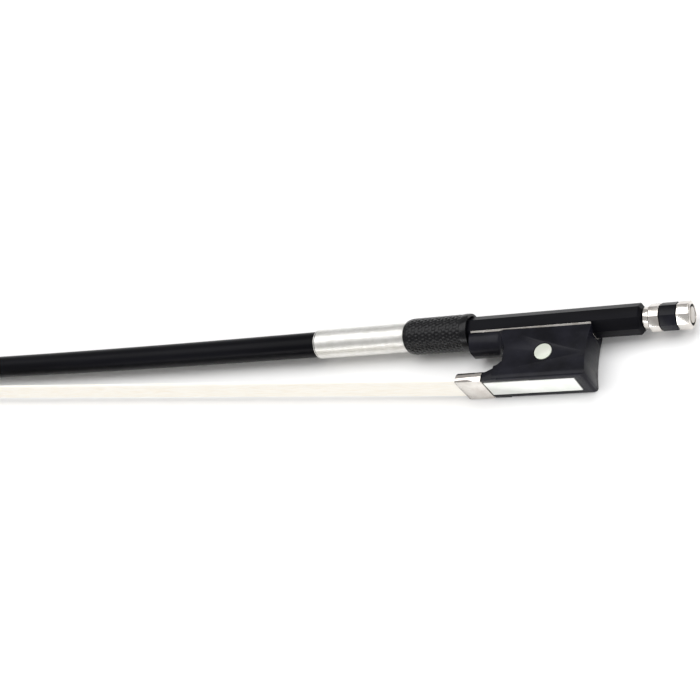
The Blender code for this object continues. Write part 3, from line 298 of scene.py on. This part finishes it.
head.append(np.column_stack([head_place(share, HEAD_BASE + sweep), z]))
rings = np.concatenate([turned_rings(handle, HEAD_RING_POINTS), shaft, np.array(head)])
stick = finished("bow_stick", rings, "stick", 40.0)
composite = shader_of("satin black composite", (0.003, 0.003, 0.004), 0.30, specular=0.06)
tint(composite, noise_on(composite, (2, 30, 30), 9.0), (0.002, 0.002, 0.003), (0.005, 0.005, 0.007))
vary_roughness(composite, noise_on(composite, (1, 12, 12), 60.0), 0.26, 0.38)
relief(composite, noise_on(composite, (1, 6, 6), 500.0), 0.12, 0.0001)
stick.data.materials.append(composite)
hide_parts("stick")


# The winding: thin silver wire wound close on the bare stick and flattened by polishing.
# It is one unbroken wire, with its first turn a little apart from the rest, and both ends tucked in.
WIRE_TURNS = 138
WIRE_PITCH = 0.25
WIRE_HALF = 0.122
WIRE_STEPS = 28
WOUND_RADIUS = 4.86
WIRE_FRONT = -GRIP_END + 0.35
turns = np.arange(WIRE_TURNS * WIRE_STEPS + 1) / WIRE_STEPS
loose = 0.35 * np.clip(1 - turns, 0, 1)
wire_x = WIRE_FRONT + WIRE_PITCH * turns - loose
wire_angle = 2 * math.pi * turns
side = 2 * math.pi * np.arange(6) / 6
wire_radius = WOUND_RADIUS + WIRE_HALF * np.sin(side)
rings = np.stack([
    wire_x[:, None] + WIRE_HALF * np.cos(side)[None],
    wire_radius[None] * np.cos(wire_angle)[:, None],
    wire_radius[None] * np.sin(wire_angle)[:, None],
], -1)
winding = finished("silver_winding", rings, "stick", 80.0)
silver = shader_of("drawn silver wire", (0.90, 0.89, 0.87), 0.36, 1.0)
tint(silver, noise_on(silver, (1, 1, 1), 420.0), (0.84, 0.83, 0.80), (0.93, 0.92, 0.90))
vary_roughness(silver, noise_on(silver, (1, 1, 1), 900.0), 0.32, 0.42)
winding.data.materials.append(silver)
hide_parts("winding")

# The wire's bed: a thin layer of dark cement under the turns, which fills the joints between them.
BED_INNER, BED_OUTER = 4.42, 4.80
BED_REAR = -82.5
bed = turned_rings([(WIRE_FRONT + 0.3, BED_INNER), (WIRE_FRONT + 0.4, BED_OUTER),
                    (BED_REAR - 0.1, BED_OUTER), (BED_REAR, BED_INNER)], 48)
bedding = finished("winding_bedding", bed, "stick")
cement = shader_of("dark cement", (0.05, 0.05, 0.05), 0.6)
tint(cement, noise_on(cement, (1, 1, 1), 700.0), (0.03, 0.03, 0.03), (0.10, 0.10, 0.10))
bedding.data.materials.append(cement)


# The thumb leather: black embossed hide glued round the stick, skived thin at its front edge.
# Scale-like bumps run round it in staggered rows, and a smooth rolled rim ends it at the frog.
LEATHER_FRONT = -81.7
LEATHER_REAR = -58.9
SCALE_LENGTH = 1.25
SCALES_ROUND = 22
SCALE_HEIGHT = 0.20
LEATHER_INNER = 5.24
LEATHER_EDGE = 5.55
LEATHER_SWELL = 0.32
RIM_START = -61.9
RIM_MIDDLE = -60.3
RIM_HALF = 1.6
RIM_HEIGHT = 0.30
LEATHER_POINTS = 264
stations = np.linspace(0, 1, 190)
leather_x = LEATHER_FRONT + stations * (LEATHER_REAR - LEATHER_FRONT)
leather_angle = around_angles(LEATHER_POINTS)
rim = np.clip((leather_x - RIM_START) / 0.7, 0, 1)
rolled = RIM_HEIGHT * np.clip(1 - ((leather_x - RIM_MIDDLE) / RIM_HALF) ** 2, 0, 1) ** 0.5
thin = np.clip((leather_x - LEATHER_FRONT) / 1.9, 0, 1) ** 0.7
row = leather_x / SCALE_LENGTH
stagger = 0.5 * (np.floor(row) % 2)
along = 2 * (row % 1.0) - 1
cell = (leather_angle[None] / (2 * math.pi) * SCALES_ROUND + stagger[:, None]) % 1.0
round_off = 1 - (2 * cell - 1) ** 2
bump = np.sqrt(np.clip(1 - along[:, None] ** 2, 0, 1)) * np.clip(round_off, 0, 1) ** 0.6
embossed = SCALE_HEIGHT * bump * (1 - rim[:, None])
leather_radius = LEATHER_EDGE + (LEATHER_SWELL + embossed) * thin[:, None]
leather_radius = leather_radius + rim[:, None] * rolled[:, None]
leather_outer = np.stack([np.repeat(leather_x[:, None], LEATHER_POINTS, 1),
                          leather_radius * np.cos(leather_angle),
                          leather_radius * np.sin(leather_angle)], -1)
leather_inner = turned_rings([(LEATHER_REAR, LEATHER_INNER), (LEATHER_FRONT, LEATHER_INNER)], LEATHER_POINTS)
leather_rings = np.concatenate([leather_outer, leather_inner])
grip = finished("thumb_grip", leather_rings, "stick", 60.0, loop=True)
hide = shader_of("black embossed leather", (0.005, 0.005, 0.006), 0.22, specular=0.20)
tint(hide, noise_on(hide, (1, 1, 1), 900.0), (0.003, 0.003, 0.004), (0.008, 0.008, 0.009))
vary_roughness(hide, noise_on(hide, (1, 1, 1), 1500.0), 0.12, 0.30)
relief(hide, noise_on(hide, (1, 1, 1), 3500.0), 0.35, 0.0001)
grip.data.materials.append(hide)
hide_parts("thumb_leather")


# The hair: a flat ribbon of unbleached horsehair, combed straight between the frog and the head.
# It fans out to the ferrule's width and turns up into the head through the slot in the plate.
HAIRS = 420
HAIR_RADIUS = 0.085
HAIR_HALF_FERRULE = 5.25
HAIR_HALF_HEAD = 3.95
rng = np.random.default_rng(5)
lane = (np.arange(HAIRS) + 0.5) / HAIRS * 2 - 1 + rng.uniform(-0.004, 0.004, HAIRS)
layer = (np.arange(HAIRS) * 0.381966 % 1.0 - 0.5) * (HAIR_THICKNESS - 2 * HAIR_RADIUS)
head_lane = lane + rng.normal(0, 0.012, HAIRS)
turn_radius = 0.75
turn_s = 9.2 - turn_radius
straight = np.linspace(0, 1, 12)
bend = np.linspace(0, math.pi / 2, 5)[1:]
start = HAIR_MOUTH + np.array([5.5, -5.5 * HAIR_RISE * 0.2])
end = head_place(turn_s, -FACE_LIFT)
direction = end - HAIR_MOUTH
paths_x, paths_y = [np.repeat(start[0], HAIRS)], [start[1] + layer * 0.9]
for t in straight:
    spot = HAIR_MOUTH + direction * t
    paths_x.append(np.repeat(spot[0], HAIRS))
    paths_y.append(spot[1] + layer)
for angle in bend:
    inner = turn_radius - layer
    spot = head_place(turn_s + inner * math.sin(angle), -FACE_LIFT + turn_radius - inner * math.cos(angle))
    paths_x.append(spot[:, 0])
    paths_y.append(spot[:, 1])
spot = head_place(turn_s + turn_radius - layer, np.repeat(4.0, HAIRS))
paths_x.append(spot[:, 0])
paths_y.append(spot[:, 1])
paths = np.stack([np.array(paths_x).T, np.array(paths_y).T], -1)
steps = paths.shape[1]
run = np.clip((HAIR_MOUTH[0] - paths[:, :, 0]) / (HAIR_MOUTH[0] - end[0]), 0, 1)
ease = run ** 0.8
half_width = HAIR_HALF_FERRULE + (HAIR_HALF_HEAD - HAIR_HALF_FERRULE) * ease
inside = np.clip(np.arange(steps) - steps + 5, 0, 5) / 5
half_width = half_width * (1 - 0.22 * inside)[None]
hair_z = (lane[:, None] * (1 - ease) + head_lane[:, None] * ease).clip(-1, 1) * half_width
tangent = np.gradient(paths, axis=1)
tangent /= np.linalg.norm(tangent, axis=2, keepdims=True)
outward = np.stack([-tangent[..., 1], tangent[..., 0]], -1)
corner = 2 * math.pi * np.arange(3) / 3 + math.pi / 2
thick = rng.uniform(0.8, 1.15, HAIRS)[:, None, None] * HAIR_RADIUS
strand = np.empty((HAIRS, steps, 3, 3))
strand[..., :2] = paths[:, :, None] + outward[:, :, None] * (thick * np.sin(corner))[..., None]
strand[..., 2] = hair_z[..., None] + thick * np.cos(corner)
points = strand.reshape(-1, 3)
h, i, j = np.meshgrid(np.arange(HAIRS), np.arange(steps - 1), np.arange(3), indexing="ij")
k = (j + 1) % 3
low = (h * steps + i) * 3
sides = np.stack([low + j, low + k, low + 3 + k, low + 3 + j], -1).reshape(-1, 4)
first = np.arange(HAIRS) * steps * 3
last = first + (steps - 1) * 3
ends = np.concatenate([np.stack([first + 2, first + 1, first], 1), np.stack([last, last + 1, last + 2], 1)])
ribbon = surface("hair_ribbon", points, sides.tolist() + ends.tolist(), None, 80.0)
horsehair = shader_of("horsehair", (0.93, 0.88, 0.78), 0.42, 0.0, 0.0, 0.2)
tint(horsehair, noise_on(horsehair, (1, 260, 260), 14.0), (0.92, 0.85, 0.73), (0.99, 0.97, 0.92), 0.22, 0.55)
ribbon.data.materials.append(horsehair)
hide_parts("hair")
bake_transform(ribbon)


# The frog: a block of black horn-like composition with hollowed heel, rounded thumb projection,
# throat and leaning cheeks, polished on the cheeks and left with its edges just broken.
def edged(node, material, width, segments=3, angle=28.0):
    """Gives a node's mesh one skin, breaks its edges and shades its round faces smooth."""
    piece = frame["nodes"][node]
    piece.data.materials.clear()
    piece.data.materials.append(material)
    piece.data.polygons.foreach_set("use_smooth", [True] * len(piece.data.polygons))
    weld = piece.modifiers.new("one skin", "WELD")
    weld.merge_threshold = 0.000002
    bevel = piece.modifiers.new("broken edges", "BEVEL")
    bevel.width = width * MM
    bevel.segments = segments
    bevel.limit_method = "ANGLE"
    bevel.angle_limit = math.radians(angle)
    bevel.harden_normals = True
    return piece


horn = shader_of("black horn composition", (0.006, 0.006, 0.009), 0.24, specular=0.12)
tint(horn, noise_on(horn, (1, 1, 1), 150.0), (0.004, 0.004, 0.006), (0.010, 0.010, 0.015))
vary_roughness(horn, noise_on(horn, (1, 1, 1), 700.0), 0.16, 0.32)
relief(horn, noise_on(horn, (1, 1, 1), 2500.0), 0.10, 0.0001)
edged("frog_body", horn, 0.22)
edged("head_plate_liner", horn, 0.08)

# The ferrule, the lining under the stick and its pins: nickel sheet and wire, polished by hand.
nickel = shader_of("polished nickel", (0.72, 0.68, 0.64), 0.14, 1.0)
tint(nickel, noise_on(nickel, (1, 1, 1), 260.0), (0.62, 0.58, 0.54), (0.78, 0.75, 0.71))
vary_roughness(nickel, noise_on(nickel, (1, 8, 1), 600.0), 0.09, 0.22)
for node in ("ferrule", "underslide", "underslide_pin_front", "underslide_pin_rear", "slide_backing"):
    edged(node, nickel, 0.08, 2)

# The pearl slide and the tip plate: white shell, cut flat and polished. Its layers show as soft
# clouds. The frog's eyes are of a greener shell and the button's eye is of a grey one.
shell = shader_of("white shell", (0.86, 0.85, 0.82), 0.16, 0.0, 0.4, 0.0)
tint(shell, noise_on(shell, (1, 1.8, 1), 190.0, 6.0), (0.82, 0.85, 0.79), (0.96, 0.95, 0.93), 0.3, 0.7)
relief(shell, noise_on(shell, (1, 1, 1), 600.0), 0.06, 0.0001)
for node in ("pearl_slide", "head_plate"):
    edged(node, shell, 0.10, 2)
eye_shell = shader_of("greenish white shell", (0.56, 0.59, 0.51), 0.20, 0.0, 0.3)
tint(eye_shell, noise_on(eye_shell, (1, 1.8, 1), 240.0, 6.0),
     (0.52, 0.57, 0.47), (0.60, 0.61, 0.55), 0.3, 0.7)
for node in ("near_eye", "far_eye"):
    edged(node, eye_shell, 0.10, 2)
end_shell = shader_of("grey shell", (0.46, 0.42, 0.37), 0.20, 0.0, 0.3)
tint(end_shell, noise_on(end_shell, (1, 1, 1), 300.0, 6.0), (0.40, 0.36, 0.32), (0.52, 0.48, 0.43), 0.3, 0.7)
edged("button_eye", end_shell, 0.10, 2)


# The button: a black core between two nickel rings, eight-sided like the handle, that turns the
# screw. A round collar meets the stick and a shell disc is let into its end.
edged("button_core", horn, 0.12, 2)
for node in ("button_front_ring", "button_rear_ring"):
    edged(node, nickel, 0.12, 2)

# The screw and the eyelet: turned steel in a brass nut on a stem, hidden in the stick and frog.
steel = shader_of("turned steel", (0.46, 0.46, 0.47), 0.30, 1.0)
vary_roughness(steel, noise_on(steel, (40, 1, 1), 60.0), 0.22, 0.40)
edged("screw", steel, 0.02, 1)
brass = shader_of("turned brass", (0.74, 0.55, 0.25), 0.28, 1.0)
vary_roughness(brass, noise_on(brass, (1, 1, 1), 500.0), 0.20, 0.38)
edged("eyelet", brass, 0.10, 2)

# The plugs, the wedge and the knots: limewood cut to size, and waxed thread round the hair's ends.
limewood = shader_of("limewood", (0.58, 0.42, 0.25), 0.6)
tint(limewood, noise_on(limewood, (1, 12, 12), 90.0), (0.48, 0.33, 0.19), (0.68, 0.52, 0.33))
for node in ("tip_plug", "frog_plug", "spread_wedge"):
    edged(node, limewood, 0.05, 1)
waxed = shader_of("waxed thread", (0.52, 0.12, 0.09), 0.6)
tint(waxed, noise_on(waxed, (1, 14, 1), 300.0), (0.36, 0.07, 0.06), (0.62, 0.17, 0.12))
for node in ("tip_knot", "frog_knot"):
    edged(node, waxed, 0.05, 1)


# The photograph's view: from the hair's side, a little above and behind the button.
CAMERA_FROM_BUTT = np.array([139.47, -209.34, 367.92])
VIEW_RIGHT = Vector((0.86301, 0.17742, -0.47300))
VIEW_DOWN = Vector((-0.06623, -0.88848, -0.45411))
VIEW_FORWARD = Vector((-0.50082, 0.42323, -0.75502))
FOCAL_PIXELS = 1435.33
FRAME_PIXELS = 700
camera_data = bpy.data.cameras.new("camera")
camera_data.sensor_width = 36.0
camera_data.lens = FOCAL_PIXELS / FRAME_PIXELS * 36.0
camera_data.clip_start = 0.01
camera = bpy.data.objects.new("camera", camera_data)
bpy.context.collection.objects.link(camera)
turn = Matrix((VIEW_RIGHT, -VIEW_DOWN, -VIEW_FORWARD)).transposed().to_4x4()
camera.matrix_world = Matrix.Translation(Vector(BUTT + CAMERA_FROM_BUTT * MM)) @ turn
bpy.context.scene.camera = camera

# A plain white floor under the bow.
floor_mesh = bpy.data.meshes.new("floor")
floor_mesh.from_pydata([(-6, -6, 0), (6, -6, 0), (6, 6, 0), (-6, 6, 0)], [], [(0, 1, 2, 3)])
floor = bpy.data.objects.new("floor", floor_mesh)
bpy.context.collection.objects.link(floor)
floor_mesh.materials.append(shader_of("white floor", (0.93, 0.93, 0.93), 0.9))


def soft_light(name, place, aim, width, height, power):
    """An area light aimed from one place at another."""
    data = bpy.data.lights.new(name, "AREA")
    data.shape = "RECTANGLE"
    data.size, data.size_y = width, height
    data.energy = power
    lamp = bpy.data.objects.new(name, data)
    bpy.context.collection.objects.link(lamp)
    lamp.location = place
    lamp.rotation_euler = (Vector(aim) - Vector(place)).to_track_quat("-Z", "Y").to_euler()


soft_light("overhead", (0.0, 0.3, 1.5), (0.1, 0.0, 0.0), 2.4, 1.2, 23.0)
soft_light("front_strip", (0.15, -1.1, 0.30), (0.2, 0.0, 0.0), 1.8, 0.22, 6.0)
soft_light("button_end", (1.3, 0.1, 0.6), (0.33, 0.0, 0.0), 0.5, 0.5, 3.0)
world = bpy.data.worlds.new("studio")
bpy.context.scene.world = world
world.use_nodes = True
world.node_tree.nodes["Background"].inputs["Color"].default_value = (1.0, 1.0, 1.0, 1.0)
world.node_tree.nodes["Background"].inputs["Strength"].default_value = 0.48
bpy.context.scene.view_settings.view_transform = "Standard"
